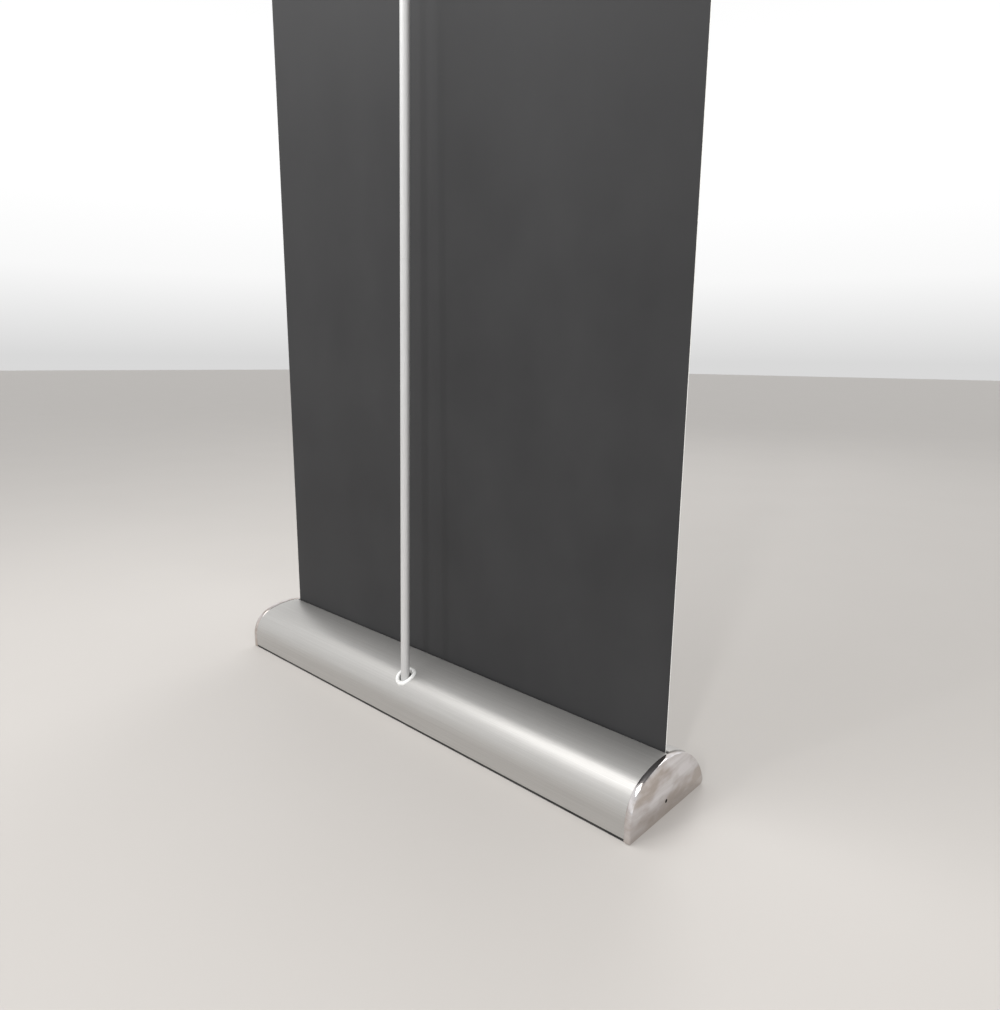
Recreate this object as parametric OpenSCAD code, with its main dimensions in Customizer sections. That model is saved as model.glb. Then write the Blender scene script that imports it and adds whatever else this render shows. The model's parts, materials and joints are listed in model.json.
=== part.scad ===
// Roll-up banner stand, millimetres, +Z up.
// Origin: floor level, at the middle of the base. The printed side of the banner faces -Y,
// the support pole stands on the +Y side, and the roller runs along X.

/* [Base] */
// Depth of the base from nose to back wall
base_depth = 182; // [168:1:215]
// Height of the base at its crown
base_h = 78.5; // [72:0.5:100]
// How far the crown of the base lies behind its middle
crown_y = 10.4; // [8:0.1:13]
// Radius of the rear shoulder
shoulder_r = 49; // [46:0.5:50]
// How far the top of the shoulder's arc lies below the crown
shoulder_drop = 5; // [4:0.5:7]
// Height of the foremost edge of the nose
nose_z = 7; // [6.5:0.5:10]
// Radius under the nose
nose_r = 6; // [3:0.5:6]
// Wall of the aluminium sections
shell_t = 1.8; // [1.4:0.1:2.4]
// Thickness of the floor plate
plate_t = 2; // [1.5:0.1:3]
// Thickness of the rubber strips under the base
foot_t = 3; // [2:0.5:4]
// Width of the rubber strips
foot_w = 18; // [10:1:24]

/* [End caps] */
// Room between the edge of the banner and the end of the aluminium
end_room = 4.5; // [4:0.5:8]
// How far the cap's outline stands proud of the aluminium
cap_step = 1.2; // [0.8:0.1:1.6]
// Reach of the cap beyond the end of the aluminium
cap_reach = 10.5; // [9.5:0.5:14]
// Outer wall of the cap behind its crowned face
cap_wall = 1; // [0.8:0.1:2]
// Diameter of the locking pin hole
lock_d = 4; // [3:0.5:4.5]
// How far the locking holes lie inside the roller's surface
lock_edge = 3.5; // [3.5:0.1:4.5]

/* [Banner] */
// Width of the banner
banner_w = 850; // [670:1:1070]
// Thickness of the two-layer banner
banner_t = 0.6; // [0.4:0.1:0.8]
// How far the slot lies in front of the middle of the base
slot_front = 7.5; // [5:0.5:10]
// Width of the slot
slot_gap = 7; // [6:0.5:10]
// Depth of the lips that line the slot
lip_h = 9; // [6:0.5:12]
// Thickness of the felt on the lips
felt_t = 1.2; // [0.8:0.1:1.6]
// Height of the banner's hidden lower end above the floor
tail_z = 9; // [8:0.5:12]

/* [Roller] */
// Outer diameter of the roller tube
roller_d = 32; // [30:0.5:36]
// Wall of the roller tube
roller_wall = 1.2; // [1:0.1:1.6]
// Height of the roller's axis
roller_z = 34; // [30:0.5:40]
// Thickness of the leader tape wound on the roller
leader_t = 1.2; // [0.8:0.1:2]
// Diameter of the axles
axle_d = 8; // [6:0.5:9]
// Diameter of the bushes
bush_d = 12; // [11:0.5:13]
// Length of the torsion spring
spring_len = 280; // [200:5:300]
// Mean diameter of the torsion spring
spring_d = 21; // [18:0.5:22]
// Diameter of the spring wire
spring_wire = 1.8; // [1.4:0.1:2.2]
// Turns shown in the torsion spring
spring_turns = 22; // [14:1:26]

/* [Pole] */
// Outer diameter of the pole
pole_d = 14; // [12:0.5:15]
// Wall of the pole tubes
pole_wall = 1; // [0.8:0.1:1.2]
// Length of each of the three pole sections
section_len = 682; // [400:1:900]
// Forward lean of the pole in degrees
pole_tilt = 1.15; // [0.9:0.05:1.3]
// How far the pole enters the base in front of the back wall
socket_back = 23.5; // [21:0.5:26]
// Height of the seat on which the pole's foot rests
seat_z = 22; // [16:1:26]
// Depth to which a spigot enters a tube
spigot_len = 45; // [30:1:60]
// Width of the grommet's bead round the pole
bead_w = 7.8; // [6:0.2:8]
// How far up the slope the bead lies from the pole's axis
bead_shift = 1.2; // [0:0.1:1.4]

/* [Top rail] */
// Height of the top rail
rail_h = 30; // [26:0.5:38]
// How far the rail reaches past the banner at each end
rail_over = 2.7; // [1:0.1:5]
// Wall of the rail's sections
rail_t = 1.8; // [1.4:0.1:2.2]
// Radius of the rail's hinge bead
bead_r = 2.5; // [2.2:0.1:3]

/* [Clearances] */
// Radial gap of a running fit
fit = 0.08; // [0.04:0.01:0.1]
// Gap between pieces that move past each other
gap = 0.35; // [0.3:0.05:0.6]

/* [Hidden] */
$fn = 96;

// Outline of the base: two crown arcs and a shoulder arc, each tangent to the next
half_depth = base_depth / 2;
shoulder_z = base_h - shoulder_r - shoulder_drop;
front_run = half_depth + crown_y;
front_rise = base_h - nose_z;
front_r = (front_run * front_run + front_rise * front_rise) / (2 * front_rise);
shoulder_y = half_depth - shoulder_r;
crown_drop = base_h - shoulder_z;
crown_run = shoulder_y - crown_y;
crown_r = (crown_drop * crown_drop + crown_run * crown_run - shoulder_r * shoulder_r)
  / (2 * (crown_drop - shoulder_r));
front_c = base_h - front_r;
crown_c = base_h - crown_r;
tangent_a = atan2(shoulder_z - crown_c, crown_run);
inner_set = cap_step + shell_t;
heel_r = 2;

// How far a cut runs past what it cuts, and a size that is larger than any section
past = 1;
far = 4 * base_depth;

// Lengths along the base
shell_x = banner_w / 2 + end_room;
base_x = shell_x + cap_reach;
slot_y = -slot_front;
lip_z = front_z(slot_y, cap_step) - lip_h;
felt_short = 2;

// Screw ports of the aluminium sections, sunk a little into the wall
port_r = 3.5;
port_hole_r = 1.5;
port_sink = 0.6;
port_set = inner_set + port_r - port_sink;
rear_port_z = 16;
top_port_y = crown_y + 24;
front_port_y = crown_y - 66;
rear_port = [back_y(rear_port_z, port_set), rear_port_z];
top_port = [top_port_y, crown_z(top_port_y, port_set)];
front_port = [front_port_y, front_z(front_port_y, port_set)];
ports = [rear_port, top_port, front_port];

// End caps and the plates behind them
dome_step = 0.8;
dome_sets = [0.8, 2.4, 6];
dome_t = dome_step * len(dome_sets);
cap_floor_x = base_x - dome_t - cap_wall;
bearing_t = 3;
bearing_x = shell_x + bearing_t;
plate_gap = 0.2;
bearing_set = inner_set + plate_gap;
lock_gap = 0.3;
peg_r = 2.5;
peg_start = 0.5;
screw_len = 16;
screw_head_t = 2;
screw_head_r = port_r - 0.8;
screw_slot_t = 0.8;
screw_slot_w = 4;
screw_slot_depth = 1.2;
pegs = [[crown_y - 44, 26], [crown_y + 52, 34]];

// Roller
roll_r = roller_d / 2 + leader_t;
roller_y = slot_y + banner_t / 2 + gap + roll_r;
roller_short = 1.5;
roller_half = banner_w / 2 - roller_short;
roller_in_r = roller_d / 2 - roller_wall;
flange_t = 2;
flange_r = roll_r - 0.2;
plug_len = 18;
tape_short = 2;
lock_r = roller_d / 2 - lock_edge;
lock_z = roller_z - lock_r;
lock_holes = 6;
lock_hole_r = lock_d / 2 + 0.2;
axle_r = axle_d / 2;
bush_r = bush_d / 2;
stub_in = 6;
spring_plug_t = 7.5;
spring_plug_gap = 0.5;
spring_plug_x = roller_half - plug_len - spring_plug_gap - spring_plug_t;
spring_x1 = spring_plug_x - 1;
spring_x0 = spring_x1 - spring_len;
hub_len = 18;
hub_r = spring_d / 2 - spring_wire / 2;

// Pole
pole_r = pole_d / 2;
bore_r = pole_r - pole_wall;
spigot_r = bore_r - fit;
spigot_tip = 3;
spigot_taper = 1.5;
foot_cap = 4;
foot_plug_len = 24;
socket_y = half_depth - socket_back;
grommet_z = shoulder_surface(socket_y, cap_step);
grommet_lean = 90 - atan2(grommet_z - shoulder_z, socket_y - shoulder_y);
pole_foot_y = socket_y + (grommet_z - seat_z) * tan(pole_tilt);
socket_r = pole_r + gap;
socket_wall = 2.6;
neck_r = pole_r + 1.2;
neck_wall = 2;
neck_depth = 12.9;
neck_gap = 2;
socket_top = grommet_z - seat_z - neck_depth;
bead_in_r = neck_r + 1.5;
grommet_r = bead_in_r + bead_w;
flange_x = socket_r + 12;
flange_h = 3;
flange_screw_x = socket_r + 7;
flange_screw_r = 2;
pole_len = 3 * section_len;
pole_top_z = seat_z + pole_len * cos(pole_tilt);
pole_top_y = pole_foot_y - pole_len * sin(pole_tilt);

// Top rail, with its own profile origin on the banner's plane at the rail's lower edge
rail_z = pole_top_z - 4;
rail_x = banner_w / 2 + rail_over;
tape_t = 0.6;
tape_z = 2;
rail_plate_y = banner_t / 2 + tape_t;
bead_y = -2.5;
bead_z = rail_h - 5;
neck_t = 1.4;
hook_r = bead_r + gap;
hook_wall = 1.7;
mouth_a = 66;
channel_out = 13;
channel_roof = rail_h - 6;
channel_drop = 11;
face_r = 34;
face_y = -8;
rail_cap_t = 3;
rail_cap_plug = 10;
banner_top = rail_h - 13;
clamp_z = 1.2;
grip_w = 2;

// Hook on the pole's top, whose lip has room behind the rail's plate
hook_room = 1.5;
hook_arm_t = 6;
hook_arm_w = 12;
hook_lip_t = 3.5;
hook_drop = 1;
hook_plug_len = 24;
hook_head_h = 12;
hook_cup = 3;
hook_rim = 2;
ledge_w = rail_t + hook_room - gap;

function crown_z(y, set_in) = crown_c + sqrt(pow(crown_r - set_in, 2) - pow(y - crown_y, 2));
function front_z(y, set_in) = front_c + sqrt(pow(front_r - set_in, 2) - pow(y - crown_y, 2));
function back_y(z, set_in) = z <= shoulder_z
  ? half_depth - set_in
  : shoulder_y + sqrt(pow(shoulder_r - set_in, 2) - pow(z - shoulder_z, 2));
function shoulder_surface(y, set_in) =
  shoulder_z + sqrt(pow(shoulder_r - set_in, 2) - pow(y - shoulder_y, 2));

// Extrudes a profile drawn in the Y-Z plane from x0 to x1
module along_x(x0, x1) {
  translate([x0, 0, 0])
    rotate([90, 0, 90])
      linear_extrude(x1 - x0)
        children();
}

// A round bar or hole along X
module bar_x(x0, x1, y, z, r) {
  translate([x0, y, z])
    rotate([0, 90, 0])
      cylinder(h = x1 - x0, r = r);
}

// Places a piece on the pole's axis, a distance s up from its foot
module on_pole(s) {
  translate([0, pole_foot_y, seat_z])
    rotate([pole_tilt, 0, 0])
      translate([0, 0, s])
        children();
}

// The side outline of the base, set in by a wall and cut off at floor_z
module outline(set_in, floor_z) {
  intersection() {
    union() {
      intersection() {
        translate([crown_y, front_c]) circle(front_r - set_in);
        translate([-base_depth, floor_z]) square([base_depth + crown_y, base_h]);
      }
      intersection() {
        translate([crown_y, crown_c]) circle(crown_r - set_in);
        translate([crown_y, floor_z]) square([base_depth, base_h]);
      }
    }
    translate([-half_depth + set_in, floor_z])
      square([base_depth - 2 * set_in, base_h]);
    union() {
      difference() {
        translate([-far, -far]) square(2 * far);
        translate([shoulder_y, shoulder_z])
          polygon([[0, 0], [far, 0], [far, far], [far * cos(tangent_a), far * sin(tangent_a)]]);
      }
      translate([shoulder_y, shoulder_z]) circle(shoulder_r - set_in);
    }
  }
}

// The outline with its lower edges rounded, for the end caps
module cap_outline(set_in) {
  difference() {
    outline(set_in, set_in);
    translate([-half_depth + set_in, set_in]) corner(nose_r);
    translate([half_depth - set_in, set_in]) mirror([1, 0]) corner(heel_r);
  }
}

// What a fillet removes from a lower left corner
module corner(r) {
  difference() {
    translate([-past, -past]) square(r + past);
    translate([r, r]) circle(r);
  }
}

// The wall of the aluminium, all round
module shell_band() {
  difference() {
    outline(cap_step, foot_t);
    outline(inner_set, foot_t - past);
  }
}

module port(at) {
  translate(at) circle(port_r);
}

module port_hole(at) {
  translate(at) circle(port_hole_r);
}

// The rear half of the housing, from the slot over the shoulder to the floor
module rear_shell() {
  color("silver")
    difference() {
      along_x(-shell_x, shell_x)
        difference() {
          union() {
            intersection() {
              shell_band();
              translate([slot_y + slot_gap / 2, foot_t]) square([base_depth, base_h]);
            }
            intersection() {
              outline(cap_step, foot_t);
              union() {
                slot_lip(slot_y + slot_gap / 2);
                port(rear_port);
                port(top_port);
              }
            }
          }
          port_hole(rear_port);
          port_hole(top_port);
        }
      on_pole(0) cylinder(h = base_h + pole_d, r = neck_r + neck_wall);
    }
}

// A lip that turns down into the base along the slot
module slot_lip(y) {
  translate([y, lip_z]) square([shell_t, lip_h + shell_t]);
}

// The front half of the housing, from the slot to the nose
module front_cover() {
  color("silver")
    along_x(-shell_x, shell_x)
      difference() {
        union() {
          intersection() {
            shell_band();
            translate([-base_depth, foot_t]) square([base_depth + slot_y - slot_gap / 2, base_h]);
          }
          intersection() {
            outline(cap_step, foot_t);
            union() {
              slot_lip(slot_y - slot_gap / 2 - shell_t);
              port(front_port);
            }
          }
        }
        port_hole(front_port);
      }
}

// The floor of the housing
module base_plate() {
  color("silver")
    along_x(-shell_x, shell_x)
      translate([-half_depth + inner_set, foot_t])
        square([base_depth - 2 * inner_set, plate_t]);
}

module foot_strip(y) {
  color([0.05, 0.05, 0.05])
    along_x(-shell_x, shell_x)
      translate([y, 0]) square([foot_w, foot_t]);
}

module foot_strip_front() {
  foot_strip(-half_depth + inner_set + nose_r);
}

module foot_strip_rear() {
  foot_strip(half_depth - heel_r - foot_w);
}

// Felt that keeps the lip from scratching the banner
module slot_felt(y) {
  color([0.12, 0.12, 0.12])
    along_x(-shell_x, shell_x)
      translate([y, lip_z]) square([felt_t, lip_h - felt_short]);
}

module slot_felt_front() {
  slot_felt(slot_y - slot_gap / 2);
}

module slot_felt_rear() {
  slot_felt(slot_y + slot_gap / 2 - felt_t);
}

// A plated end cap with a crowned face, for the +X end
module end_cap(with_lock) {
  face_x = base_x - dome_t;
  color([0.8, 0.78, 0.76])
    difference() {
      union() {
        difference() {
          along_x(shell_x, face_x) cap_outline(0);
          along_x(shell_x - past, cap_floor_x) outline(inner_set, inner_set);
        }
        for (i = [0 : len(dome_sets) - 1])
          along_x(face_x + i * dome_step, face_x + (i + 1) * dome_step)
            cap_outline(dome_sets[i]);
        for (p = pegs)
          bar_x(shell_x + peg_start, cap_floor_x + cap_wall / 2, p[0], p[1], peg_r);
      }
      if (with_lock)
        bar_x(shell_x, base_x + past, roller_y, lock_z, lock_d / 2);
    }
}

module end_cap_left() {
  mirror([1, 0, 0]) end_cap(true);
}

module end_cap_right() {
  end_cap(false);
}

// The steel plate that carries one end of the roller, for the +X end
module bearing_plate() {
  color([0.62, 0.63, 0.65])
    along_x(shell_x, bearing_x)
      difference() {
        outline(bearing_set, bearing_set);
        translate([roller_y, roller_z]) circle(axle_r);
        translate([roller_y, lock_z]) circle(lock_d / 2 + lock_gap);
        for (p = pegs) translate(p) circle(peg_r);
        for (p = ports) translate(p) circle(port_hole_r);
      }
}

module bearing_plate_left() {
  mirror([1, 0, 0]) bearing_plate();
}

module bearing_plate_right() {
  bearing_plate();
}

// Self-tapping screws that hold a bearing plate in the ports, for the +X end
module bearing_screws() {
  head_x = bearing_x + screw_head_t;
  color([0.25, 0.25, 0.27])
    for (p = ports)
      difference() {
        union() {
          bar_x(bearing_x - screw_len, bearing_x, p[0], p[1], port_hole_r);
          bar_x(bearing_x, head_x, p[0], p[1], screw_head_r);
        }
        translate([head_x, p[0], p[1]])
          for (size = [[screw_slot_t, screw_slot_w], [screw_slot_w, screw_slot_t]])
            cube([2 * screw_slot_depth, size[0], size[1]], center = true);
      }
}

module bearing_screws_left() {
  mirror([1, 0, 0]) bearing_screws();
}

module bearing_screws_right() {
  bearing_screws();
}

// The fixed axle at the left end
module stub_axle() {
  color([0.6, 0.6, 0.62])
    bar_x(-bearing_x, -roller_half + plug_len + stub_in, roller_y, roller_z, axle_r);
}

// The fixed shaft that the spring is wound on
module spring_shaft() {
  color([0.6, 0.6, 0.62])
    bar_x(spring_x0 - hub_len, bearing_x, roller_y, roller_z, axle_r);
}

// Holds the spring's inner end on the shaft
module spring_hub() {
  color([0.15, 0.15, 0.16])
    difference() {
      bar_x(spring_x0 - hub_len, spring_x0, roller_y, roller_z, hub_r);
      bar_x(spring_x0 - hub_len - past, spring_x0 + past, roller_y, roller_z, axle_r);
    }
}

// The winding spring, as a helix of wire round the shaft
module torsion_spring() {
  turn_steps = 14;
  wire_sides = 6;
  steps = spring_turns * turn_steps;
  travel = spring_len - spring_wire - 2 * gap;
  points = [
    for (i = [0 : steps])
      for (k = [0 : wire_sides - 1])
        let (
          a = 360 * i / turn_steps,
          b = 360 * k / wire_sides,
          r = spring_d / 2 + spring_wire / 2 * cos(b),
          x = spring_x0 + gap + spring_wire / 2 + travel * i / steps
        )
        [x + spring_wire / 2 * sin(b), roller_y + r * cos(a), roller_z + r * sin(a)]
  ];
  sides = [
    for (i = [0 : steps - 1])
      for (k = [0 : wire_sides - 1])
        let (
          n = (k + 1) % wire_sides,
          a = i * wire_sides,
          b = a + wire_sides
        )
        each [[a + k, b + k, b + n], [a + k, b + n, a + n]]
  ];
  start = [for (k = [0 : wire_sides - 1]) k];
  finish = [for (k = [wire_sides - 1 : -1 : 0]) steps * wire_sides + k];
  color([0.35, 0.36, 0.38])
    polyhedron(points, concat([start, finish], sides));
}

// The plastic tube that takes the foot of the pole
module pole_socket() {
  floor_z = foot_t + plate_t;
  flange_y = socket_r + socket_wall;
  color([0.1, 0.1, 0.1])
    difference() {
      intersection() {
        union() {
          on_pole(-seat_z) cylinder(h = seat_z + socket_top, r = socket_r + socket_wall);
          translate([-flange_x, pole_foot_y - flange_y, floor_z])
            cube([2 * flange_x, 2 * flange_y, flange_h]);
        }
        translate([-far / 2, -far / 2, floor_z]) cube([far, far, base_h]);
      }
      on_pole(0) cylinder(h = base_h, r = socket_r);
      for (s = [-1, 1])
        translate([s * flange_screw_x, pole_foot_y, 0]) cylinder(h = base_h / 2, r = flange_screw_r);
    }
}

// Screws that hold the socket on the floor plate
module socket_screws() {
  head_r = flange_screw_r + 1.6;
  color([0.25, 0.25, 0.27])
    for (s = [-1, 1])
      translate([s * flange_screw_x, pole_foot_y, foot_t + plate_t]) {
        cylinder(h = flange_h, r = flange_screw_r);
        translate([0, 0, flange_h]) cylinder(h = screw_head_t, r = head_r);
      }
}

// The white ring round the pole where it enters the base
module grommet() {
  ring_r = grommet_r - bead_w / 2;
  color("white")
    difference() {
      union() {
        difference() {
          translate([0, socket_y, grommet_z])
            rotate([-grommet_lean, 0, 0])
              translate([0, -bead_shift, 0])
                rotate_extrude()
                  translate([ring_r, 0]) circle(bead_w / 2);
          along_x(-grommet_r - past, grommet_r + past) outline(cap_step, foot_t);
        }
        intersection() {
          on_pole(socket_top + neck_gap) cylinder(h = base_h, r = neck_r + neck_wall);
          along_x(-grommet_r, grommet_r) outline(cap_step, foot_t);
        }
      }
      on_pole(0) cylinder(h = 2 * base_h, r = neck_r);
    }
}

// The roller's tube
module roller_tube() {
  color([0.7, 0.7, 0.72])
    difference() {
      bar_x(-roller_half, roller_half, roller_y, roller_z, roller_d / 2);
      bar_x(-roller_half - past, roller_half + past, roller_y, roller_z, roller_in_r);
    }
}

// The plug in one end of the roller, with its ring of locking holes, for the +X end
module roller_plug() {
  color([0.12, 0.12, 0.13])
    difference() {
      union() {
        bar_x(roller_half - plug_len, roller_half, roller_y, roller_z, roller_in_r);
        bar_x(roller_half, roller_half + flange_t, roller_y, roller_z, flange_r);
      }
      bar_x(0, base_x, roller_y, roller_z, bush_r);
      for (i = [0 : lock_holes - 1])
        bar_x(roller_half - plug_len / 2, base_x,
          roller_y + lock_r * sin(360 * i / lock_holes),
          roller_z - lock_r * cos(360 * i / lock_holes), lock_hole_r);
    }
}

module roller_plug_left() {
  mirror([1, 0, 0]) roller_plug();
}

module roller_plug_right() {
  roller_plug();
}

// A bush pressed into a roller plug, for the +X end
module bush() {
  color([0.75, 0.6, 0.35])
    difference() {
      bar_x(roller_half - plug_len, roller_half + flange_t, roller_y, roller_z, bush_r);
      bar_x(0, base_x, roller_y, roller_z, axle_r + fit);
    }
}

module bush_left() {
  mirror([1, 0, 0]) bush();
}

module bush_right() {
  bush();
}

// Joins the spring's outer end to the roller tube
module spring_plug() {
  color([0.15, 0.15, 0.16])
    difference() {
      bar_x(spring_plug_x, spring_plug_x + spring_plug_t, roller_y, roller_z, roller_in_r);
      bar_x(spring_plug_x - past, base_x, roller_y, roller_z, axle_r + 1);
    }
}

// The turns of leader tape that stay on the roller
module leader_roll() {
  half = roller_half - tape_short;
  color([0.9, 0.9, 0.88])
    difference() {
      bar_x(-half, half, roller_y, roller_z, roll_r);
      bar_x(-half - past, half + past, roller_y, roller_z, roller_d / 2);
    }
}

// The plug that closes the foot of the pole
module pole_foot() {
  color([0.1, 0.1, 0.1])
    on_pole(0) {
      cylinder(h = foot_cap, r = pole_r);
      cylinder(h = foot_plug_len, r = bore_r);
    }
}

// One tube of the pole, from s0 to s1 along its axis
module pole_tube(s0, s1) {
  color([0.85, 0.86, 0.88])
    on_pole(s0)
      difference() {
        cylinder(h = s1 - s0, r = pole_r);
        translate([0, 0, -past]) cylinder(h = s1 - s0 + 2 * past, r = bore_r);
      }
}

module pole_tube_lower() {
  pole_tube(foot_cap, section_len);
}

module pole_tube_middle() {
  pole_tube(section_len, 2 * section_len);
}

module pole_tube_upper() {
  pole_tube(2 * section_len, pole_len);
}

// The spigot that stands out of the top of a tube and enters the next one
module spigot(s) {
  color([0.55, 0.56, 0.58])
    on_pole(s) {
      translate([0, 0, -spigot_len]) cylinder(h = spigot_len, r = bore_r);
      cylinder(h = spigot_len - spigot_tip, r = spigot_r);
      translate([0, 0, spigot_len - spigot_tip])
        cylinder(h = spigot_tip, r1 = spigot_r, r2 = spigot_r - spigot_taper);
    }
}

module spigot_lower() {
  spigot(section_len);
}

module spigot_upper() {
  spigot(2 * section_len);
}

// The hook on the pole's top, whose lip stands in the rail's channel
module pole_hook() {
  arm_z = rail_z + channel_roof - channel_drop - hook_arm_t - hook_drop;
  lip_y = slot_y + rail_plate_y + rail_t + hook_room;
  lip_top = rail_z + channel_roof - rail_t - gap;
  color([0.12, 0.12, 0.13]) {
    difference() {
      union() {
        on_pole(pole_len - hook_plug_len) cylinder(h = hook_plug_len, r = bore_r);
        on_pole(pole_len) cylinder(h = hook_head_h, r = pole_r + 1);
      }
      on_pole(pole_len + hook_head_h - hook_cup) cylinder(h = hook_head_h, r = pole_r - hook_rim);
    }
    difference() {
      union() {
        translate([-hook_arm_w / 2, lip_y, arm_z])
          cube([hook_arm_w, pole_top_y - lip_y, hook_arm_t]);
        translate([-hook_arm_w / 2, lip_y, arm_z])
          cube([hook_arm_w, hook_lip_t, lip_top - arm_z]);
      }
      on_pole(pole_len - hook_plug_len) cylinder(h = 2 * rail_h, r = pole_r + 0.5);
    }
  }
}

// The banner, from its hidden lower end to the top rail
module banner() {
  color([0.27, 0.27, 0.28])
    along_x(-banner_w / 2, banner_w / 2)
      translate([slot_y - banner_t / 2, tail_z])
        square([banner_t, rail_z + banner_top - tail_z]);
}

// Places a rail profile on the banner's plane
module rail_profile(x0, x1) {
  along_x(x0, x1)
    translate([slot_y, rail_z])
      children();
}

// The back section of the rail: clamp plate, hinge bead and hook channel
module rail_back() {
  color("silver")
    rail_profile(-rail_x, rail_x) {
      translate([rail_plate_y, 0]) square([rail_t, bead_z + neck_t / 2]);
      translate([bead_y, bead_z - neck_t / 2]) square([rail_plate_y + rail_t - bead_y, neck_t]);
      translate([bead_y, bead_z]) circle(bead_r);
      translate([rail_plate_y, channel_roof - rail_t]) square([channel_out - rail_plate_y, rail_t]);
      translate([channel_out - rail_t, channel_roof - channel_drop])
        square([rail_t, channel_drop]);
      translate([rail_plate_y, 0]) square([ledge_w, rail_t]);
    }
}

// Adhesive tape between the banner and the back section
module rail_tape() {
  color([0.9, 0.88, 0.8])
    rail_profile(-banner_w / 2, banner_w / 2)
      translate([banner_t / 2, tape_z]) square([tape_t, banner_top - tape_z]);
}

// The plastic end of the rail, for the +X end
module rail_cap() {
  color([0.15, 0.15, 0.16]) {
    rail_profile(rail_x + gap, rail_x + gap + rail_cap_t) {
      intersection() {
        translate([face_y + face_r, rail_h / 2]) circle(face_r);
        translate([face_y, 0]) square([rail_plate_y + rail_t - face_y, rail_h]);
      }
      translate([rail_plate_y, channel_roof - channel_drop])
        square([channel_out - rail_plate_y, channel_drop]);
    }
    rail_profile(rail_x - rail_cap_plug, rail_x + gap)
      translate([rail_plate_y + rail_t, channel_roof - channel_drop + rail_t])
        square([channel_out - rail_plate_y - 2 * rail_t, channel_drop - 2 * rail_t]);
  }
}

module rail_cap_left() {
  mirror([1, 0, 0]) rail_cap();
}

module rail_cap_right() {
  rail_cap();
}

// The front section of the rail, which snaps over the bead and clamps the banner
module rail_front() {
  color("silver")
    rail_profile(-rail_x, rail_x) {
      difference() {
        intersection() {
          translate([face_y + face_r, rail_h / 2]) circle(face_r);
          translate([face_y, 0]) square([bead_y - face_y, bead_z + 2]);
        }
        translate([face_y + face_r, rail_h / 2]) circle(face_r - rail_t);
        translate([bead_y, bead_z]) circle(hook_r);
      }
      difference() {
        translate([bead_y, bead_z]) circle(hook_r + hook_wall);
        translate([bead_y, bead_z]) circle(hook_r);
        translate([bead_y, bead_z])
          polygon([[0, 0], [far * cos(mouth_a), -far * sin(mouth_a)],
            [far * cos(mouth_a), far * sin(mouth_a)]]);
      }
      translate([face_y + 3, clamp_z])
        square([-face_y - 3 - banner_t / 2 - grip_w, rail_t]);
    }
}

// The soft edge that presses the banner against the tape
module rail_grip() {
  color([0.08, 0.08, 0.08])
    rail_profile(-banner_w / 2, banner_w / 2)
      translate([-banner_t / 2 - grip_w, clamp_z - 0.6]) square([grip_w - gap, rail_t + 1.2]);
}

rear_shell();
front_cover();
base_plate();
foot_strip_front();
foot_strip_rear();
slot_felt_front();
slot_felt_rear();
end_cap_left();
end_cap_right();
bearing_plate_left();
bearing_plate_right();
bearing_screws_left();
bearing_screws_right();
stub_axle();
spring_shaft();
spring_hub();
torsion_spring();
pole_socket();
socket_screws();
grommet();
roller_tube();
roller_plug_left();
roller_plug_right();
bush_left();
bush_right();
spring_plug();
leader_roll();
pole_foot();
pole_tube_lower();
spigot_lower();
pole_tube_middle();
spigot_upper();
pole_tube_upper();
pole_hook();
banner();
rail_back();
rail_tape();
rail_cap_left();
rail_cap_right();
rail_front();
rail_grip();
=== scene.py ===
"""Looks for the roll-up banner stand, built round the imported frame. Lengths are metres."""

import json
import math

import bmesh
import bpy
from mathutils import Matrix, Vector

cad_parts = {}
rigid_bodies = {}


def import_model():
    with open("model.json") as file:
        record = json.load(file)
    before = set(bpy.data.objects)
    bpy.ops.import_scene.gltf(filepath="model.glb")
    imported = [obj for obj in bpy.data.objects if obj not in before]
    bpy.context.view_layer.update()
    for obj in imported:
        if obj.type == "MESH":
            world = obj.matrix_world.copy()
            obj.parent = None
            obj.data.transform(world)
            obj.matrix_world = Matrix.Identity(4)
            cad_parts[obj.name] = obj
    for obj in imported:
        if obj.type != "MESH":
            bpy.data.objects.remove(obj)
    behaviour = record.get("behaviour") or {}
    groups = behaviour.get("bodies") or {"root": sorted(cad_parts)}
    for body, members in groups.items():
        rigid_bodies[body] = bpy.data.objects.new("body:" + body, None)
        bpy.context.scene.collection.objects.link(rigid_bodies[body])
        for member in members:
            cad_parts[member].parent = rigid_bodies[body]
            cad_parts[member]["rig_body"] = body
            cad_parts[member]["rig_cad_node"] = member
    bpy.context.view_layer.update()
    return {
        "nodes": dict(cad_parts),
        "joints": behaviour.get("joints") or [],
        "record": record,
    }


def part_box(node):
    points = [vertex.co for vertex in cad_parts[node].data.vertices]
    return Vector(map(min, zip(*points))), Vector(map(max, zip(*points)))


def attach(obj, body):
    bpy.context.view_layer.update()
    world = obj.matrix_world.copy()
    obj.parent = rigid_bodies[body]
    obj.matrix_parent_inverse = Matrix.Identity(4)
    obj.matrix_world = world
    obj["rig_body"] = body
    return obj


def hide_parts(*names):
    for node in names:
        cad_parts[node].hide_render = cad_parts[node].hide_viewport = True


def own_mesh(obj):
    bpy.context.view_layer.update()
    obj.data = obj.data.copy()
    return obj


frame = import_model()
MM = 0.001


# ---- Sizes and places, from the frame ----

CAP_LOW, CAP_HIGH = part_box("end_cap_right")
SHELL_LOW, SHELL_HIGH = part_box("rear_shell")
COVER_LOW, COVER_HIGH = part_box("front_cover")
BANNER_LOW, BANNER_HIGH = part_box("banner")
RAIL_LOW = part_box("rail_back")[0]
GROMMET_LOW, GROMMET_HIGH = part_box("grommet")
FOOT_LOW, FOOT_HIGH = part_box("pole_foot")

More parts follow.
